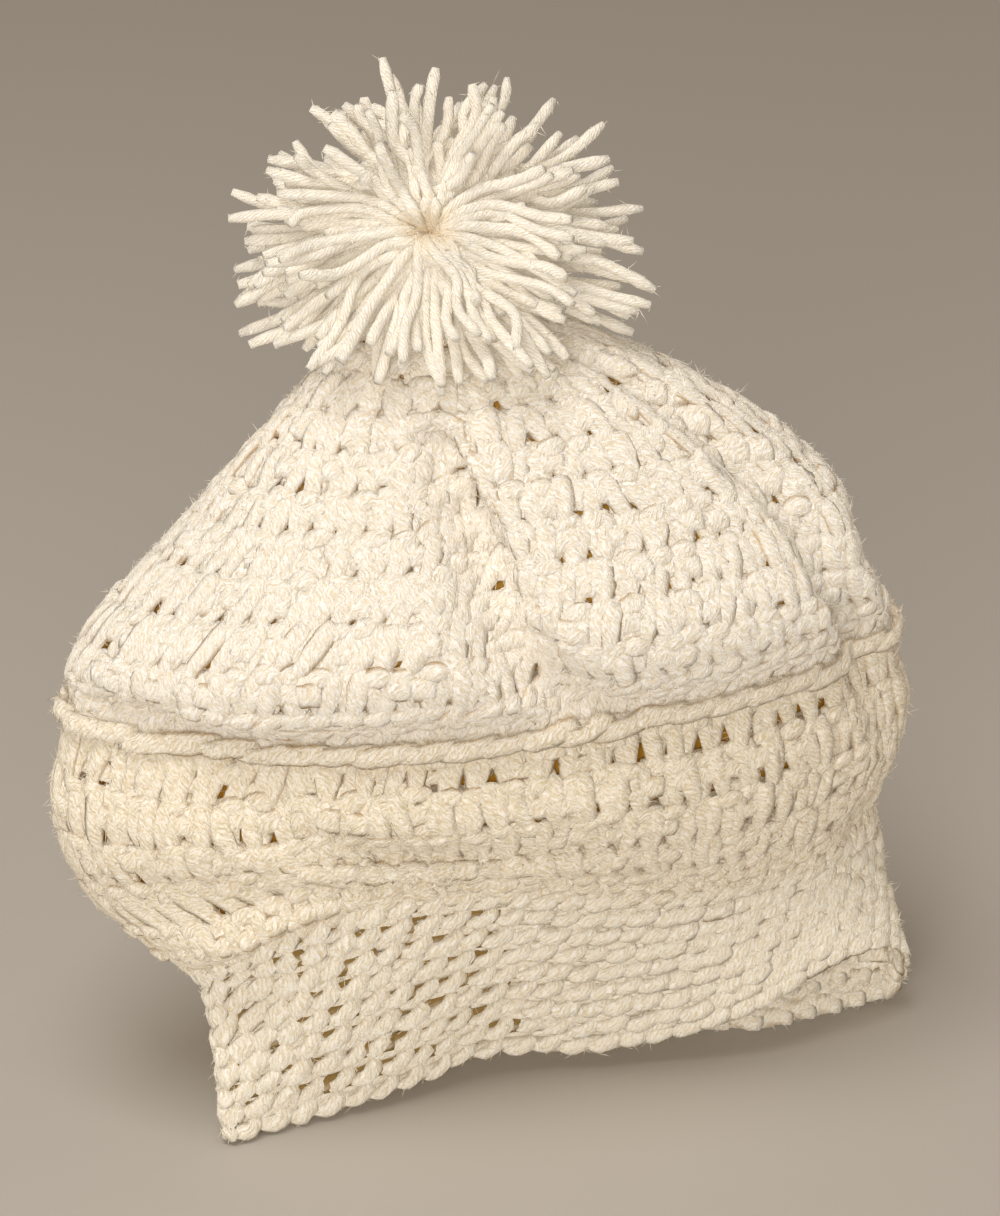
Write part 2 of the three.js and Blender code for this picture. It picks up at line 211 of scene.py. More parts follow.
def section_line(degrees, station):
    """Points of the unfolded wall from the neck up, and the level line from its middle out to each."""
    place = np.clip(station - neck_station, 0, len(sections) - 1 - 1e-9)
    i = np.floor(place).astype(int)
    t = (place - i)[..., None]
    a, b, c, d = (sections[np.clip(i + k, 0, len(sections) - 1)] for k in (-1, 0, 1, 2))
    row = 0.5 * (2 * b + (c - a) * t + (2 * a - 5 * b + 4 * c - d) * t**2 + (3 * b - 3 * c + d - a) * t**3)
    level = {name: row[..., k] for k, name in enumerate(section_columns)}
    angle = np.radians(degrees)
    turn = np.radians(level["turn"])
    x = level["width"] * np.cos(angle)
    y = np.where(np.sin(angle) < 0, level["front"], level["back"]) * np.sin(angle)
    reach = np.stack([x * np.cos(turn) - y * np.sin(turn), x * np.sin(turn) + y * np.cos(turn), 0 * x], -1)
    z = level["z"] + level["tilt"] * np.cos(angle)
    z = z + level["rise"] * (0.5 + 0.5 * np.cos(angle - np.radians(rise_at)))
    z = z + sum(hump(degrees, station, *lift) for lift in lifts)
    return reach + np.stack([level["x"], level["y"], z], -1), reach


def wall_points(degrees, station):
    """Points of the wall, from the hem at station 0 to the apex."""
    degrees, station = np.broadcast_arrays(degrees, station)
    foot = hem_line(degrees)
    neck, _ = section_line(degrees, np.full(station.shape, float(neck_station)))
    step = 0.001
    above, _ = section_line(degrees, np.full(station.shape, neck_station + step))
    share = np.clip(station, 0, 1)[..., None]
    band = hermite(foot, neck, neck - foot, (above - neck) * band_sweep / step, share)
    upper, reach = section_line(degrees, np.maximum(station, neck_station))
    away = reach / np.linalg.norm(reach, axis=-1, keepdims=True)
    plain = np.where((station < neck_station)[..., None], band, upper)
    points = plain - away * fold_depth(degrees, station)[..., None]
    for *place, toward in pushes:
        aim = np.array([np.cos(np.radians(toward)), np.sin(np.radians(toward)), 0])
        points = points + aim * hump(degrees, station, *place)[..., None]
    return points + frame_shift


# The wall on a grid: rows up it, and columns spread evenly along each row
rows_per_station = 40
columns = 720
stations = np.linspace(0, apex_station, apex_station * rows_per_station + 1)
wall = wall_points(np.linspace(0, 360, columns + 1)[None, :], stations[:, None])
evenly = np.linspace(0, 1, columns + 1)
for row in wall:
    run = np.concatenate([[0], np.cumsum(np.linalg.norm(np.diff(row, axis=0), axis=1))])
    row[:] = np.stack([np.interp(evenly, run / run[-1], row[:, k]) for k in range(3)], -1)
girth = np.linalg.norm(np.diff(wall, axis=1), axis=2).sum(1)
climb = np.concatenate([[0], np.cumsum(np.linalg.norm(np.diff(wall, axis=0), axis=2).mean(1))])
round_step = np.roll(wall[:, :-1], -1, 1) - np.roll(wall[:, :-1], 1, 1)
wall_normal = np.cross(np.concatenate([round_step, round_step[:, :1]], 1), np.gradient(wall, axis=0))
wall_normal /= np.linalg.norm(wall_normal, axis=2, keepdims=True) + 1e-9


def on_wall(around, station, out):
    """Points out mm off the wall with its outward direction, at shares round it and stations up it."""
    row = np.clip(station / apex_station, 0, 1) * (len(stations) - 1)
    column = (around % 1) * columns
    i = np.clip(np.floor(row).astype(int), 0, len(stations) - 2)
    j = np.clip(np.floor(column).astype(int), 0, columns - 1)
    f, g = (row - i)[..., None], (column - j)[..., None]

    def between(field):
        low = field[i, j] * (1 - g) + field[i, j + 1] * g
        high = field[i + 1, j] * (1 - g) + field[i + 1, j + 1] * g
        return low * (1 - f) + high * f

    normal = between(wall_normal)
    normal /= np.linalg.norm(normal, axis=-1, keepdims=True) + 1e-9
    return np.concatenate([between(wall) + normal * out[..., None], normal], -1)


def rounds_between(low, high, heights):
    """Stations that divide the wall between two seams into rounds of the given relative heights."""
    ends = np.interp([low, high], stations, climb)
    shares = np.concatenate([[0], np.cumsum(heights)]) / np.sum(heights)
    return np.interp(ends[0] + (ends[1] - ends[0]) * shares, climb, stations)


def smooth_path(points, count):
    """A given path of a strand, as count points on a smooth curve through it."""
    points = np.asarray(points, float)
    ends = np.vstack([2 * points[0] - points[1], points, 2 * points[-1] - points[-2]])
    place = np.linspace(0, len(points) - 1 - 1e-9, count)
    i = np.floor(place).astype(int)
    t = (place - i)[:, None]
    a, b, c, d = (ends[i + k] for k in range(4))
    return 0.5 * (2 * b + (c - a) * t + (2 * a - 5 * b + 4 * c - d) * t**2 + (3 * b - 3 * c + d - a) * t**3)


chance = np.random.default_rng(7)
yarn_sink = 2.6
yarn_flat = 0.66
# A stitch's wobble turns into a lean, and into mm outward
wobble_lean = 2
wobble_out = 5
# Swelling of a strand along its length
plump = [0.7, 0.92, 1, 1, 1, 1, 0.92, 0.7]
post_swell = [0.7, 0.74, 0.8, 0.92, 1.0, 1.0, 1.0, 0.9]
bead = [0.5, 0.8, 0.98, 1.06, 1.06, 0.98, 0.8, 0.5]
even = [1, 1, 1, 1, 1]


def stitch_round(path, points, count, low, high, offset=0.0, lean=0.0, wobble=0.06):
    """One strand of each stitch in a round. Its path is across in stitches, up in rounds and out in mm."""
    across, up, out = smooth_path(path, points).T
    shake = chance.normal(0, wobble, (4, count, 1))
    leaning = (lean + wobble_lean * shake[3]) * (up - 0.5)
    place = np.arange(count)[:, None] + 0.5 + offset + across + leaning + shake[0]
    station = low + (high - low) * (up + shake[1])
    return on_wall(place / count, station, out - yarn_sink + wobble_out * shake[2])


# How uneven the strands are from one to the next and round each, their least height off the floor in
# radii, the mm within which a strand's twist starts, and a direction that no strand takes
strand_uneven = 0.05
yarn_uneven = 0.06
floor_clear = 1.2
twist_start = 40
off_axis = [0.31, 0.52, 0.79]


def sweep(strands, radius, taper, lit=0.0, sides=6):
    """Yarn along strands that carry the wall's direction: corners, outward, faces, caps, maps and painted
    light.
    """
    strands, wall_side = strands[..., :3], strands[..., 3:]
    count, points, _ = strands.shape
    strands = np.maximum(strands, [-np.inf, -np.inf, floor_clear * radius])
    along = np.gradient(strands, axis=1)
    along /= np.linalg.norm(along, axis=2, keepdims=True) + 1e-9
    side = np.cross(along[:, 0], off_axis)
    carried = []
    for k in range(points):
        side = side - (side * along[:, k]).sum(1, keepdims=True) * along[:, k]
        side /= np.linalg.norm(side, axis=1, keepdims=True) + 1e-9
        carried.append(side)
    side = np.stack(carried, 1)[:, :, None]
    other = np.cross(along[:, :, None], side)
    turn = np.linspace(0, 2 * np.pi, sides, endpoint=False)[None, None, :, None]
    outward = np.cos(turn) * side + np.sin(turn) * other
    taper = np.asarray(taper)
    thick = radius * chance.normal(1, strand_uneven, (count, 1, 1, 1)) * taper[None, :, None, None]
    thick = thick * chance.normal(1, yarn_uneven, (count, points, sides, 1))
    toward_wall = (outward * wall_side[:, :, None]).sum(-1, keepdims=True) * wall_side[:, :, None]
    corners = strands[:, :, None] + thick * (outward - yarn_flat * toward_wall)
    index = np.arange(count * points * sides).reshape(count, points, sides)
    beside = np.roll(index, -1, 2)
    quads = np.stack([index[:, :-1], beside[:, :-1], beside[:, 1:], index[:, 1:]], -1).reshape(-1, 4)
    caps = np.concatenate([index[:, 0, ::-1], index[:, -1]])
    steps = np.linalg.norm(np.diff(strands, axis=1), axis=2)
    reached = np.concatenate([np.zeros((count, 1)), np.cumsum(steps, 1)], 1)
    length = reached + chance.uniform(0, twist_start, (count, 1))
    u = np.broadcast_to(length[:, :, None], (count, points, sides))
    v = np.broadcast_to(np.arange(sides) / sides, (count, points, sides))
    quad_u = np.stack([u[:, :-1], u[:, :-1], u[:, 1:], u[:, 1:]], -1)
    quad_v = np.stack([v[:, :-1], v[:, :-1] + 1 / sides, v[:, 1:] + 1 / sides, v[:, 1:]], -1)
    cap_u = np.concatenate([u[:, 0, ::-1], u[:, -1]])
    cap_v = np.concatenate([v[:, 0, ::-1], v[:, -1]])
    quad_map = np.stack([quad_u, quad_v], -1).reshape(-1, 2)
    cap_map = np.stack([cap_u, cap_v], -1).reshape(-1, 2)
    # Painted shade: sides that face along the wall, and strands given a lower lit, take more of the crease
    # colour
    light = np.abs((outward * wall_side[:, :, None]).sum(-1)) + np.reshape(lit, (1, -1, 1))
    return corners.reshape(-1, 3), outward.reshape(-1, 3), quads, caps, quad_map, cap_map, light.ravel()


# Loose fibres: how far they stand off the yarn, the shape and mm of their lengths, and their radius in mm
fibre_lift = 0.8
fibre_lengths = (4.0, 0.45)
fibre_radius = 0.12


def loose_fibres(sweeps, count):
    """Short fibres that lie over the outside of the yarn and blur it, each a thin three-sided spike."""
    roots = np.concatenate([s[0] for s in sweeps])
    outward = np.concatenate([s[1] for s in sweeps])
    outside = np.flatnonzero((outward * (roots - roots.mean(0))).sum(1) > 0)
    pick = chance.choice(outside, count)
    aim = np.cross(outward[pick], chance.normal(0, 1, (count, 3)))
    aim /= np.linalg.norm(aim, axis=1, keepdims=True) + 1e-9
    aim += outward[pick] * chance.uniform(0.0, fibre_lift, (count, 1))
    root = roots[pick]
    tips = root + aim * chance.gamma(*fibre_lengths, (count, 1))
    across = np.cross(aim, outward[pick])
    across *= fibre_radius / (np.linalg.norm(across, axis=1, keepdims=True) + 1e-9)
    lift = np.cross(aim, across) / (np.linalg.norm(aim, axis=1, keepdims=True) + 1e-9)
    # Three corners a third of a turn apart
    base = [root + across, root - 0.5 * across + 0.87 * lift, root - 0.5 * across - 0.87 * lift]
    a, b, c, tip = np.arange(4 * count).reshape(4, count)
    sides = ((a, b, tip), (b, c, tip), (c, a, tip), (c, b, a))
    faces = np.concatenate([np.stack(side, 1) for side in sides])
    corners = np.concatenate(base + [tips])
    corners[:, 2] = np.maximum(corners[:, 2], 0)
    no_quads = np.zeros((0, 4), int)
    no_map = np.zeros((0, 2))
    plain_map = np.zeros((faces.size, 2))
    return corners, corners * 0, no_quads, faces, no_map, plain_map, np.ones(len(corners))


metres_per_mm = 0.001


def yarn_piece(name, sweeps, material, replaced, fibres):
    """Joins swept yarn and its loose fibres into one piece of the hat."""
    sweeps = sweeps + [loose_fibres(sweeps, fibres)]
    starts = np.concatenate([[0], np.cumsum([len(s[0]) for s in sweeps])])
    quads = [face for s, start in zip(sweeps, starts) for face in (s[2] + start).tolist()]
    caps = [face for s, start in zip(sweeps, starts) for face in (s[3] + start).tolist()]
    mesh = bpy.data.meshes.new(name)
    mesh.from_pydata(np.concatenate([s[0] for s in sweeps]) * metres_per_mm, [], quads + caps)
    strand_map = np.concatenate([s[4] for s in sweeps] + [s[5] for s in sweeps])
    mesh.uv_layers.new(name="yarn").data.foreach_set("uv", strand_map.ravel())
    light = np.concatenate([s[6] for s in sweeps])
    mesh.attributes.new("light", "FLOAT", "POINT").data.foreach_set("value", light)
    mesh.polygons.foreach_set("use_smooth", np.ones(len(mesh.polygons), bool))
    mesh.materials.append(material)
    piece = bpy.data.objects.new(name, mesh)
    bpy.context.collection.objects.link(piece)
    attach(piece, "root")
    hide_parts(replaced)


def plied_yarn(name, cream, groove, crease, ply_depth, lobe_depth, glow):
    """Soft plied acrylic: fibres lie along the plies, small lobes swell between them, and the creases are
    painted in tan shade.

    The faint glow is painted light over the whole surface: it stands for light that scatters inside the
    pale fibres and comes out in the creases.
    """
    # Plies are 1.6 mm apart along the yarn and nine round it. The rest are patterns to the metre:
    # strays 2.6 mm apart, lobes 3.3 mm and fuzz 0.6 mm, coarser than real fuzz so that it shows.
    ply_pitch = 1.6
    plies = 9
    strays = 380.0
    lobes = 300.0
    fuzzes = 1600.0
    stray_turn = 2.0
    fuzz_depth = 0.5
    tone_reach = 0.2
    material = bpy.data.materials.new(name)
    material.use_nodes = True
    tree = material.node_tree
    surface = tree.nodes["Principled BSDF"]

    # The plies wind round the strand and stray a little
    strand = add_node(tree, "ShaderNodeUVMap", {"uv_map": "yarn"})
    split = add_node(tree, "ShaderNodeSeparateXYZ", links={0: strand.outputs["UV"]})
    place = add_node(tree, "ShaderNodeTexCoord")
    stray = add_node(tree, "ShaderNodeTexNoise", {"Scale": strays, "Detail": 1.0},
                     {"Vector": place.outputs["Object"]})
    astray = add_node(tree, "ShaderNodeMath", {"operation": "MULTIPLY", 1: stray_turn},
                      {0: stray.outputs["Fac"]})
    round_share = add_node(tree, "ShaderNodeMath", {"operation": "MULTIPLY_ADD", 1: plies},
                           {0: split.outputs["Y"], 2: astray.outputs[0]})
    wind = add_node(tree, "ShaderNodeMath", {"operation": "MULTIPLY_ADD", 1: 1 / ply_pitch},
                    {0: split.outputs["X"], 2: round_share.outputs[0]})
    half_turn = add_node(tree, "ShaderNodeMath", {"operation": "MULTIPLY", 1: math.pi},
                         {0: wind.outputs[0]})
    wave = add_node(tree, "ShaderNodeMath", {"operation": "SINE"}, {0: half_turn.outputs[0]})
    ply = add_node(tree, "ShaderNodeMath", {"operation": "ABSOLUTE"}, {0: wave.outputs[0]})

    # Short fibres are drawn out along the plies, under fuzz and small lobes
    laid = add_node(tree, "ShaderNodeCombineXYZ", links={"X": split.outputs["X"], "Y": wind.outputs[0]})
    drawn = add_node(tree, "ShaderNodeVectorMath", {"operation": "MULTIPLY", 1: (0.4, 1.9, 1.0)},
                     {0: laid.outputs[0]})
    fibre = add_node(tree, "ShaderNodeTexNoise",
                     {"noise_dimensions": "2D", "Scale": 1.4, "Detail": 2.0, "Roughness": 0.7},
                     {"Vector": drawn.outputs[0]})
    fuzz = add_node(tree, "ShaderNodeTexNoise", {"Scale": fuzzes, "Detail": 1.0, "Roughness": 0.7},
                    {"Vector": place.outputs["Object"]})
    lobe = add_node(tree, "ShaderNodeTexVoronoi", {"Scale": lobes}, {"Vector": place.outputs["Object"]})
    plied = add_node(tree, "ShaderNodeMath", {"operation": "MULTIPLY_ADD", 1: ply_depth},
                     {0: ply.outputs[0], 2: fibre.outputs["Fac"]})
    strokes = add_node(tree, "ShaderNodeMath", {"operation": "MULTIPLY_ADD", 1: fuzz_depth},
                       {0: fuzz.outputs["Fac"], 2: plied.outputs[0]})
    relief = add_node(tree, "ShaderNodeMath", {"operation": "MULTIPLY_ADD", 1: -lobe_depth},
                      {0: lobe.outputs["Distance"], 2: strokes.outputs[0]})
    bump = add_node(tree, "ShaderNodeBump", {"Strength": 0.85, "Distance": 0.0007},
                    {"Height": relief.outputs[0]})

    # The strokes turn from groove to cream about their middle: painted shade in the ply grooves, and random
    # fibre tone
    middle = 0.75 + 0.64 * ply_depth
    tone = add_node(tree, "ShaderNodeMapRange",
                    {"From Min": middle - tone_reach, "From Max": middle + tone_reach},
                    {"Value": strokes.outputs[0]})
    face = add_node(tree, "ShaderNodeMix", {"data_type": "RGBA", 6: linear(groove), 7: linear(cream)},
                    {0: tone.outputs[0]})
    # Painted shade: what faces along the wall, strands set lower by lit and the edges of lobes turn to the
    # crease colour
    light = add_node(tree, "ShaderNodeAttribute", {"attribute_name": "light"})
    seen = add_node(tree, "ShaderNodeMath", {"operation": "MULTIPLY_ADD", 1: -0.5 * lobe_depth},
                    {0: lobe.outputs["Distance"], 2: light.outputs["Fac"]})
    depth = add_node(tree, "ShaderNodeMapRange", {"From Min": -0.4, "From Max": 0.35},
                     {"Value": seen.outputs[0]})
    color = add_node(tree, "ShaderNodeMix", {"data_type": "RGBA", 6: linear(crease)},
                     {0: depth.outputs[0], 7: face.outputs[2]})
    tree.links.new(color.outputs[2], surface.inputs["Base Color"])
    # The surface colour is also painted on as a faint glow, painted light that lifts the shade
    tree.links.new(color.outputs[2], surface.inputs["Emission Color"])
    surface.inputs["Emission Strength"].default_value = glow
    material.cycles.emission_sampling = "NONE"
    tree.links.new(bump.outputs[0], surface.inputs["Normal"])
    surface.inputs["Roughness"].default_value = 0.9
    surface.inputs["Diffuse Roughness"].default_value = 0.8
    surface.inputs["Specular IOR Level"].default_value = 0.15
    surface.inputs["Sheen Weight"].default_value = 0.1
    surface.inputs["Sheen Roughness"].default_value = 0.5
    surface.inputs["Sheen Tint"].default_value = linear("#ffdca0")
    return material


stitch_width = 7.6
band_ribs = 9
rib_shift = 0.5
gap_shade = -1.0
# Shares round the hat: the front left, where the core behind the gaps between the loops is painted in
# shade, and the lifted front right, where the loops are drawn out into smooth ribs, by its middle, width
# and fullness
gap_from, gap_to = 0.47, 0.68
drawn_middle, drawn_width, drawn_full = 0.86, 0.12, 1.6
band_stitches = round(girth[0] / stitch_width)
# Paths of the strands of a stitch: across in stitches, up in rounds and out in mm
rib_loop = [(-0.52, 0.16, -0.9), (-0.28, 0.32, 1.0), (0, 0.50, 1.7), (0.28, 0.68, 1.0), (0.52, 0.84, -0.9)]
rib_back = [(-0.6, 0.9, -0.3), (-0.3, 0.95, 0.1), (0, 1.0, 0.2), (0.3, 1.05, 0.1), (0.6, 1.1, -0.3)]
rib_smooth = [(-0.6, 0.32, 0.7), (-0.3, 0.42, 1.1), (0, 0.50, 1.3), (0.3, 0.58, 1.1), (0.6, 0.68, 0.7)]
rib_core = [(-0.6, 0.5, 0.0), (-0.3, 0.5, 0.1), (0, 0.5, 0.1), (0.3, 0.5, 0.1), (0.6, 0.5, 0.0)]
# Each strand of a stitch: its path, radius in mm, swelling along it and how lit its place is, as painted
# shade
rib_stitch = [(rib_loop, 2.9, plump, 0), (rib_back, 2.5, even, -0.3), (rib_core, 3.0, even, -0.3)]
rib_stations = rounds_between(0, neck_station, np.ones(band_ribs))
band_sweeps = []
for rib in range(band_ribs):
    low, high = rib_stations[rib], rib_stations[rib + 1]
    shift = rib_shift * rib
    around = (np.arange(band_stitches) + 0.5 + shift) / band_stitches % 1
    gaping = (around > gap_from) & (around < gap_to) & (rib > 0)
    for path, radius, taper, lit in rib_stitch:
        strands = stitch_round(path, len(taper), band_stitches, low, high, shift)
        if path is rib_loop:
            drawn = np.clip(drawn_full - np.abs(around - drawn_middle) / drawn_width, 0, 1)[:, None, None]
            smooth = stitch_round(rib_smooth, len(taper), band_stitches, low, high, shift)
            strands = strands * (1 - drawn) + smooth * drawn
        # Behind the gaps at the front left the core is painted in shade
        if path is rib_core and gaping.any():
            band_sweeps.append(sweep(strands[gaping], radius, taper, gap_shade))
            strands = strands[~gaping]
        band_sweeps.append(sweep(strands, radius, taper, lit))
# The same yarn as the rest of the hat: this copy glows a little more than the body's, painted light
band_yarn = plied_yarn("cream acrylic yarn, ribbed", cream="#fffaf0", groove="#e8dabd",
                       crease="#9c7e4a", ply_depth=0.2, lobe_depth=0.5, glow=0.14)
yarn_piece("band_stitches", band_sweeps, band_yarn, "band", fibres=10000)

# Body
# Above the band the wall is two low rounds and four open rounds of double crochet.
# Each stitch is a pair of plump strands standing on a knob, with a slit beside its foot whose back, where
# open, is set in and painted in shade.

post_left = [(-0.08, -0.06, 0.1), (-0.09, 0.12, 0.7), (-0.12, 0.32, 0.95), (-0.18, 0.58, 1.1),
             (-0.20, 0.85, 1.0), (-0.19, 1.08, 0.3)]
post_right = [(0.08, -0.06, 0.1), (0.09, 0.12, 0.7), (0.12, 0.32, 0.95), (0.18, 0.58, 1.1),
              (0.20, 0.85, 1.0), (0.19, 1.08, 0.3)]
knob = [(-0.50, -0.10, -0.2), (-0.26, -0.03, 0.9), (0, 0.00, 1.3), (0.26, -0.03, 0.9), (0.50, -0.10, -0.2)]
foot_chain = [(-0.6, -0.06, 0.1), (0, -0.05, 0.3), (0.6, -0.06, 0.1)]
slit_back = [(0.1, 0.26, 0.2), (0.5, 0.27, 0.4), (0.9, 0.26, 0.2)]
seam_back = [(0.1, 0.62, 0.8), (0.5, 0.64, 1.0), (0.9, 0.62, 0.8)]
# Painted shade on the strand behind an open slit
slit_shade = -1.6
low_post = [(-0.45, -0.05, -1.6), (-0.35, 0.2, 0.4), (-0.2, 0.5, 1.0), (-0.05, 0.85, 0.4),
            (0.05, 1.1, -1.6)]
low_twin = [(0.05, -0.05, -1.6), (0.15, 0.2, 0.4), (0.3, 0.5, 1.0), (0.45, 0.85, 0.4),
            (0.55, 1.1, -1.6)]
foot_knob = (knob, 2.6, bead, 0)
double_crochet = [
    (post_left, 2.9, post_swell, 0), (post_right, 2.9, post_swell, 0),
    (foot_chain, 2.5, even, 0), (slit_back, 2.5, even, 0), (seam_back, 3.2, even, 0),
]
single_crochet = [(low_post, 2.6, plump, 0), (low_twin, 2.6, plump, 0), foot_knob]
low_round = 6.5
open_round = 13
body_rounds = [low_round, low_round, open_round, open_round, open_round, open_round]
body_stations = rounds_between(neck_station, crease_station, body_rounds)


def crochet_round(stitch, count, low, high, offset, slant, opened, slit_depth):
    """All the yarn of one round, with the backs of its open slits set in and painted in shade."""
    sweeps = []
    for path, radius, taper, lit in stitch:
        strands = stitch_round(path, len(taper), count, low, high, offset, slant)
        if path is slit_back and opened.any():
            strands[opened, :, :3] -= strands[opened, :, 3:] * slit_depth
            sweeps.append(sweep(strands[opened], radius, taper, slit_shade))
            strands = strands[~opened]
        sweeps.append(sweep(strands, radius, taper, lit))
    return sweeps


body_slit = 2.6
body_shift = 0.37
body_slants = (-0.05, 0.15)
# Shares round the hat that are stretched, and the part of the stitches there and elsewhere that gape
left_stretch = (0.45, 0.64)
right_stretch = (0.78, 0.97)
stretched_open = 0.9
slack_open = 0.4
body_sweeps = []
for k, height in enumerate(body_rounds):
    low, high = body_stations[k], body_stations[k + 1]
    count = round(np.interp((low + high) / 2, stations, girth) / stitch_width)
    offset = body_shift * k
    around = (np.arange(count) + 1 + offset) / count % 1
    # The top round is slack at the left
    at_left = (around > left_stretch[0]) & (around < left_stretch[1]) & (k < len(body_rounds) - 1)
    at_right = (around > right_stretch[0]) & (around < right_stretch[1])
    opened = chance.random(count) < np.where(at_left | at_right, stretched_open, slack_open)
    stitch = single_crochet if height == low_round else double_crochet + [foot_knob]
    slant = body_slants[k % 2]
    body_sweeps.append(crochet_round(stitch, count, low, high, offset, slant, opened, body_slit))
# The same yarn as the crown, in a duller cream and groove: painted shade
body_yarn = plied_yarn("cream acrylic yarn, open stitch", cream="#fff8ec", groove="#e2d2b0",
                       crease="#b07e22", ply_depth=0.15, lobe_depth=0.6, glow=0.11)
body_lower = sum(body_sweeps[:4], [])
body_upper = sum(body_sweeps[4:], [])
yarn_piece("body_lower_stitches", body_lower, body_yarn, "body", fibres=10000)
yarn_piece("body_upper_stitches", body_upper, body_yarn, "body", fibres=10000)

# Ridge
# A raised chain of front loops runs round the hat in the crease over the body.
# Its long loops lie along the round and overlap like a cord.

ridge_loop = [(-0.8, -0.10, 3.0), (-0.4, -0.05, 4.4), (0, 0.0, 4.8), (0.4, 0.05, 4.4), (0.8, 0.10, 3.0)]
ridge_width = 10
ridge_radius = 2.8
ridge_count = round(girth[crease_station * rows_per_station] / ridge_width)
ridge_span = 0.5
ridge_top = crease_station + ridge_span
ridge_strands = stitch_round(ridge_loop, len(plump), ridge_count, crease_station, ridge_top, wobble=0.045)
ridge_sweep = sweep(ridge_strands, ridge_radius, plump)
# The same yarn, in a groove as dull as the body's: painted shade
ridge_yarn = plied_yarn("cream acrylic yarn, raised chain", cream="#fff9ee", groove="#e2d2b2",
                        crease="#b6862a", ply_depth=0.2, lobe_depth=0.6, glow=0.1)
yarn_piece("ridge_chain", [ridge_sweep], ridge_yarn, "ridge", fibres=1500)

# Crown
# Two low rounds and eleven of double crochet, puffed out over the ridge and drawn in to the apex.
# The slack folds in at the front pleat and along the right crease. Every other round shows its top loops.

crown_round = 11.5
crown_rounds = [low_round, low_round] + [crown_round] * 11
crown_stitch = 6.9
crown_slit = 2.0
crown_open = 0.7
crown_shift = 0.41
crown_slants = (-0.08, 0.18)
least_stitches = 8
crown_stations = rounds_between(crease_station, apex_station, crown_rounds)
top_loop = [(-0.54, -0.14, -0.1), (-0.28, -0.08, 0.9), (0, -0.01, 1.3), (0.28, 0.05, 0.9),
            (0.54, 0.10, -0.1)]
foot_loop = (top_loop, 2.5, bead, 0)
# The same yarn, in a paler cream and groove than the body's: painted light
crown_yarn = plied_yarn("cream acrylic yarn, double crochet", cream="#fffbf5", groove="#e9dcc2",
                        crease="#c09036", ply_depth=0.15, lobe_depth=0.6, glow=0.11)
crown_sweeps = []
for k, height in enumerate(crown_rounds):
    low, high = crown_stations[k], crown_stations[k + 1]
    count = max(least_stitches, round(np.interp((low + high) / 2, stations, girth) / crown_stitch))
    foot = foot_knob if k % 2 else foot_loop
    stitch = single_crochet if height == low_round else double_crochet + [foot]
    slant = crown_slants[k % 2]
    opened = chance.random(count) < crown_open
    crown_sweeps.append(crochet_round(stitch, count, low, high, crown_shift * k, slant, opened, crown_slit))
crown_lower = sum(crown_sweeps[:5], [])
crown_middle = sum(crown_sweeps[5:9], [])
crown_upper = sum(crown_sweeps[9:], [])
yarn_piece("crown_lower_stitches", crown_lower, crown_yarn, "crown", fibres=10000)
yarn_piece("crown_middle_stitches", crown_middle, crown_yarn, "crown", fibres=9000)
yarn_piece("crown_upper_stitches", crown_upper, crown_yarn, "crown", fibres=6000)

# Pompom
# A bundle of cut yarn tied round its middle and sewn to the apex, its ends springing out all ways.
# It parts toward the front left, where the tie is, and the lowest strands lie over the crown.

head_radius = 14
head_gap = 0.4
lock_count = 58
strands_per_lock = 6
strands_more = 2
front_below = 0.1
near_top = 0.5
lock_length = 55
lock_uneven = 0.16
lock_sway = 8
lock_sag = 12
least_sag = 0.3
sag_from = 0.5
top_shorter = 0.14
lowest_lock = -22
lowest_lock_extra = -10
# Strands, in mm and in shares of their lock's length
strand_radius = 1.45
strand_points = 16
strand_sides = 7
strand_spread = (0.5, 9.0)
strand_bend = 1.6
strand_curl = 2.0
short_strand = 0.62
strand_reach = (0.72, 0.96)
top_longer = 0.09
tie_depth = 8
parting_at = 242
parting_elevation = 27
parting_clear = 42
parting_reach = 110
parting_shorter = 0.2
apex = np.array([sections[-1, 1], sections[-1, 2], sections[-1, 0]]) + frame_shift
heart = apex + [0, 0, head_gap + head_radius]


def direction(azimuth, elevation):
    """A unit step along an azimuth and an elevation in radians."""
    level = math.cos(elevation)
    return np.array([math.cos(azimuth) * level, math.sin(azimuth) * level, math.sin(elevation)])


def vary(k, salt):
    """A repeatable number from 0 to 1 for lock k."""
    return math.sin(k * 12.9898 + salt * 78.233) * 43758.5453 % 1


def lowest_aim(azimuth):
    """Lowest elevation of a lock that clears the crown, which is steeper at the front and back."""
    return math.radians(lowest_lock + lowest_lock_extra * abs(math.sin(azimuth)))


def out_of_parting(aim):
    """Leans a lock's aim out of the parting."""
    off = math.degrees(math.acos(aim @ parting))
    if off > parting_reach:
        return aim
    pushed = math.radians(parting_clear + (parting_reach - parting_clear) * off / parting_reach)
    beside = aim - parting * (aim @ parting)
    leaning = parting * math.cos(pushed) + beside / np.linalg.norm(beside) * math.sin(pushed)
    azimuth = math.atan2(leaning[1], leaning[0])
    return direction(azimuth, max(math.asin(leaning[2]), lowest_aim(azimuth)))


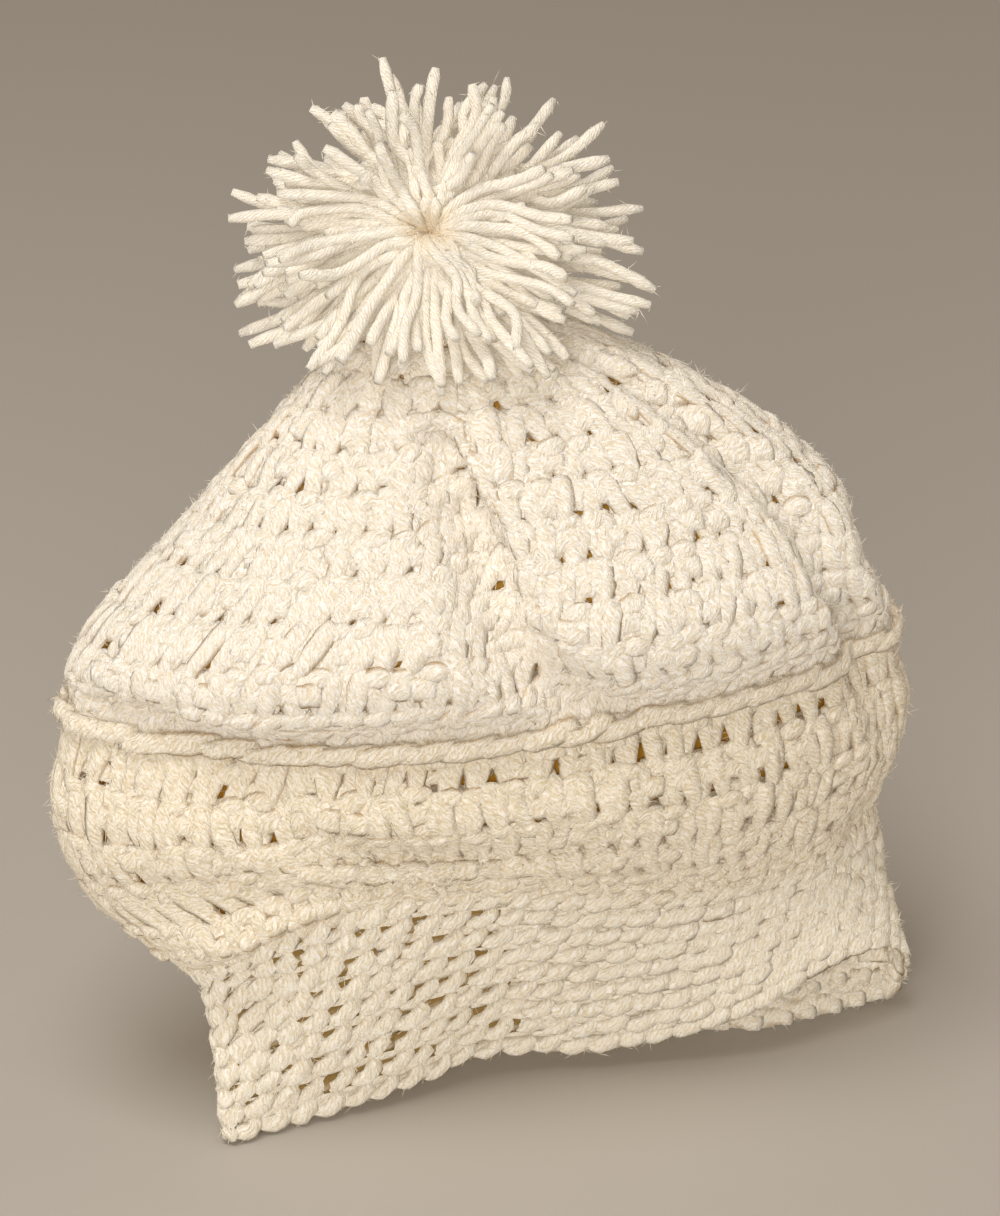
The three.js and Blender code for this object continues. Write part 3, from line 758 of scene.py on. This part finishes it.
parting = direction(math.radians(parting_at), math.radians(parting_elevation))
pompom_strands = []
for k in range(lock_count):
    azimuth = k * math.pi * (3 - math.sqrt(5))
    lowest = math.sin(lowest_aim(azimuth))
    aim = out_of_parting(direction(azimuth, math.asin(lowest + (1 - lowest) * (k + 0.5) / lock_count)))
    shorter = (1 - parting_shorter * max(aim @ parting, 0)) * (1 - top_shorter * max(aim[2], 0))
    length = lock_length * (1 + lock_uneven * (vary(k, 1) - 0.5)) * shorter
    level = math.hypot(aim[0], aim[1])
    sag = lock_sag * level * (least_sag + vary(k, 2)) * min(max(aim[2] + sag_from, 0), 1)
    sway = np.array([-aim[1], aim[0], 0]) * lock_sway * (vary(k, 3) - 0.5)
    facing = max(aim @ parting, 0)
    # The strands are most at the front below the parting, and fewest and longest at the top
    more = strands_more * (aim[2] < front_below and facing > 0) - strands_more * (aim[2] > near_top)
    for twin in range(strands_per_lock + more):
        apart = np.cross(aim, chance.normal(0, 1, 3))
        apart *= chance.uniform(*strand_spread) / np.linalg.norm(apart)
        share = short_strand if twin == 0 else chance.uniform(*strand_reach) + top_longer * max(aim[2], 0)
        reach = length * share
        bend = chance.normal(0, strand_bend, 3)
        curl = chance.normal(0, strand_curl, 3)
        # A strand leaves the tie, arches beside the parting and runs out along its lock
        path = [
            heart + parting * tie_depth + aim * 1.5 + apart * 0.25,
            heart + parting * (9 + 3 * facing) + aim * 8 + apart * 0.45,
            heart + aim * reach * 0.45 + parting * 3 * facing + sway * 0.4 + apart * 0.6 + bend,
            heart + aim * reach * 0.75 + sway * 0.3 + apart * 0.9 - [0, 0, sag * 0.5] - bend * 0.4,
            heart + aim * reach + apart - [0, 0, sag] + curl,
        ]
        pompom_strands.append(smooth_path(path, strand_points))
# The same yarn, with the palest groove and crease and more glow than the body's: painted light between the
# strands
pompom_yarn = plied_yarn("cream acrylic yarn, cut strands", cream="#fffbf3", groove="#f3e8d2",
                         crease="#e2c286", ply_depth=0.4, lobe_depth=0.2, glow=0.12)
# The cut ends splay a little and are rounded off, and the roots are painted in shade
cut_end = [1] * (strand_points - 3) + [1.03, 1.06, 0.7]
root_shade = np.minimum(np.linspace(-0.1, 1.4, strand_points), 1)
# The strands are clear of the wall, so they carry no direction from it
pompom_strands = np.array(pompom_strands)
pompom_strands = np.concatenate([pompom_strands, 0 * pompom_strands], -1)
pompom_sweep = sweep(pompom_strands, strand_radius, cut_end, root_shade, strand_sides)
yarn_piece("pompom_strands", [pompom_sweep], pompom_yarn, "pompom", fibres=8000)
